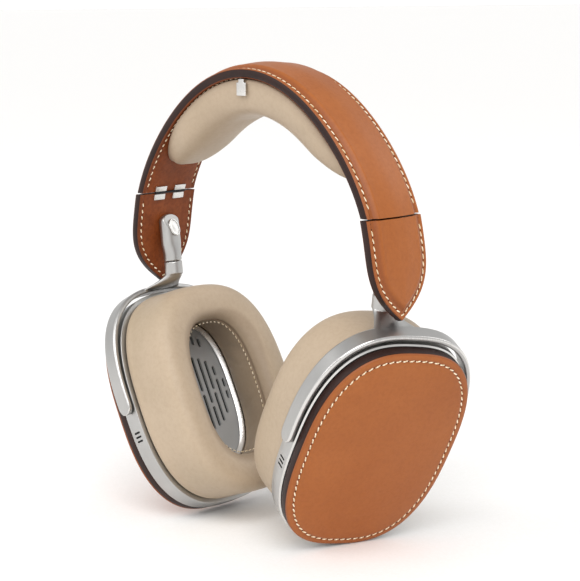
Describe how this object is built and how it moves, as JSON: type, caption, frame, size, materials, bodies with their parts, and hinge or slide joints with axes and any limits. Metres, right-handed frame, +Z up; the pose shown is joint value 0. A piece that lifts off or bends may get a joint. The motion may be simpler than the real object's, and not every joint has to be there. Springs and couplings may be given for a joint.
{
  "type": "over-ear headphones",
  "caption": "Over-ear wireless headphones with a stitched leather headband, padded crown, folding leather tabs, forked aluminium arms and oval cups with deep ear cushions",
  "frame": {"origin": "The middle of the crown cushion's underside, where a head or a stand holds the headphones", "axes": "+Z up, X along the wearer's left and right with the swivelled cup on +X, -Y is the front"},
  "size_m": [0.1676, 0.0831, 0.1979],
  "materials": {
    "saddle_leather": "smooth tan calf, softly grained, semi-matt",
    "lining_leather": "darker tan lining leather, matt",
    "painted_edge": "burgundy edge paint, smooth satin",
    "cushion_leather": "soft beige lambskin, matt",
    "satin_aluminium": "bead-blasted, satin anodised grey",
    "bright_aluminium": "polished",
    "spring_steel": "fine brushed",
    "black_plastic": "fine texture",
    "baffle_plastic": "satin grey coating",
    "board_laminate": "solder mask",
    "battery_wrap": "shrink wrap"
  },
  "bodies": {
    "headband": {"band_cover": "saddle_leather", "band_strip": "spring_steel", "band_lining": "lining_leather", "crown_cushion": "cushion_leather", "crown_clip": "satin_aluminium", "hinge_upper_front_right": "satin_aluminium", "hinge_upper_back_right": "satin_aluminium", "hinge_upper_front_left": "satin_aluminium", "hinge_upper_back_left": "satin_aluminium"},
    "tab_right": {"hinge_lower_front_right": "satin_aluminium", "hinge_lower_back_right": "satin_aluminium", "hinge_pin_right": "spring_steel", "tab_cover_right": "saddle_leather", "tab_plate_right": "spring_steel", "tab_lining_right": "lining_leather", "arm_socket_right": "satin_aluminium", "socket_cap_right": "bright_aluminium"},
    "arm_right": {"arm_rod_right": "bright_aluminium"},
    "yoke_right": {"yoke_right": "satin_aluminium", "pivot_front_right": "spring_steel", "pivot_back_right": "spring_steel"},
    "cup_right": {"cup_shell_right": "satin_aluminium", "cover_board_right": "painted_edge", "cover_leather_right": "saddle_leather", "baffle_right": "baffle_plastic", "baffle_trim_right": "bright_aluminium", "driver_right": "black_plastic", "cushion_plate_right": "black_plastic", "ear_cushion_right": "cushion_leather", "mic_grille_right": "bright_aluminium", "circuit_board_right": "board_laminate"},
    "tab_left": {"hinge_lower_front_left": "satin_aluminium", "hinge_lower_back_left": "satin_aluminium", "hinge_pin_left": "spring_steel", "tab_cover_left": "saddle_leather", "tab_plate_left": "spring_steel", "tab_lining_left": "lining_leather", "arm_socket_left": "satin_aluminium", "socket_cap_left": "bright_aluminium"},
    "arm_left": {"arm_rod_left": "bright_aluminium"},
    "yoke_left": {"yoke_left": "satin_aluminium", "pivot_front_left": "spring_steel", "pivot_back_left": "spring_steel"},
    "cup_left": {"cup_shell_left": "satin_aluminium", "cover_board_left": "painted_edge", "cover_leather_left": "saddle_leather", "baffle_left": "baffle_plastic", "baffle_trim_left": "bright_aluminium", "driver_left": "black_plastic", "cushion_plate_left": "black_plastic", "ear_cushion_left": "cushion_leather", "mic_grille_left": "bright_aluminium", "charging_port_left": "spring_steel", "battery_left": "battery_wrap"},
    "play_button": {"play_button_right": "satin_aluminium"},
    "volume_rocker": {"volume_rocker_right": "satin_aluminium"},
    "noise_button": {"noise_button_left": "satin_aluminium"}
  },
  "joints": [
    {"name": "fold_right", "type": "hinge", "parent": "headband", "child": "tab_right", "pos_m": [0.06435, 0, -0.0358], "axis": [0, -1, 0], "range_deg": [0, 5.5]},
    {"name": "extend_right", "type": "slide", "parent": "tab_right", "child": "arm_right", "axis": [-0.1305, 0, -0.9914], "range_m": [0, 0.012]},
    {"name": "swivel_right", "type": "hinge", "parent": "arm_right", "child": "yoke_right", "pos_m": [0.0632, 0, -0.0668], "axis": [0.1305, 0, 0.9914], "range_deg": [-8, 38]},
    {"name": "tilt_right", "type": "hinge", "parent": "yoke_right", "child": "cup_right", "pos_m": [0.05303, 0.00301, -0.12595], "axis": [-0.2701, -0.9532, 0.1359], "range_deg": [-1, 12]},
    {"name": "fold_left", "type": "hinge", "parent": "headband", "child": "tab_left", "pos_m": [-0.06435, 0, -0.0358], "axis": [0, 1, 0], "range_deg": [0, 5.5]},
    {"name": "extend_left", "type": "slide", "parent": "tab_left", "child": "arm_left", "axis": [0.1305, 0, -0.9914], "range_m": [0, 0.012]},
    {"name": "swivel_left", "type": "hinge", "parent": "arm_left", "child": "yoke_left", "pos_m": [-0.0632, 0, -0.0668], "axis": [-0.1305, 0, 0.9914], "range_deg": [-25, 25]},
    {"name": "tilt_left", "type": "hinge", "parent": "yoke_left", "child": "cup_left", "pos_m": [-0.05261, 0, -0.12574], "axis": [0, 1, 0], "range_deg": [-1, 12]},
    {"name": "play_button_press", "type": "slide", "parent": "cup_right", "child": "play_button", "axis": [-0.2354, -0.9505, 0.2031], "range_m": [0, 0.0006], "stiffness_N_per_m": 800},
    {"name": "volume_rocker_tip", "type": "hinge", "parent": "cup_right", "child": "volume_rocker", "pos_m": [0.04983, 0.03396, -0.15415], "axis": [0.8516, -0.3024, -0.4283], "range_deg": [-2.5, 2.5], "stiffness_Nm_per_rad": 0.02},
    {"name": "noise_button_press", "type": "slide", "parent": "cup_left", "child": "noise_button", "axis": [-0.0491, -0.994, 0.0976], "range_m": [0, 0.0006], "stiffness_N_per_m": 800}
  ]
}
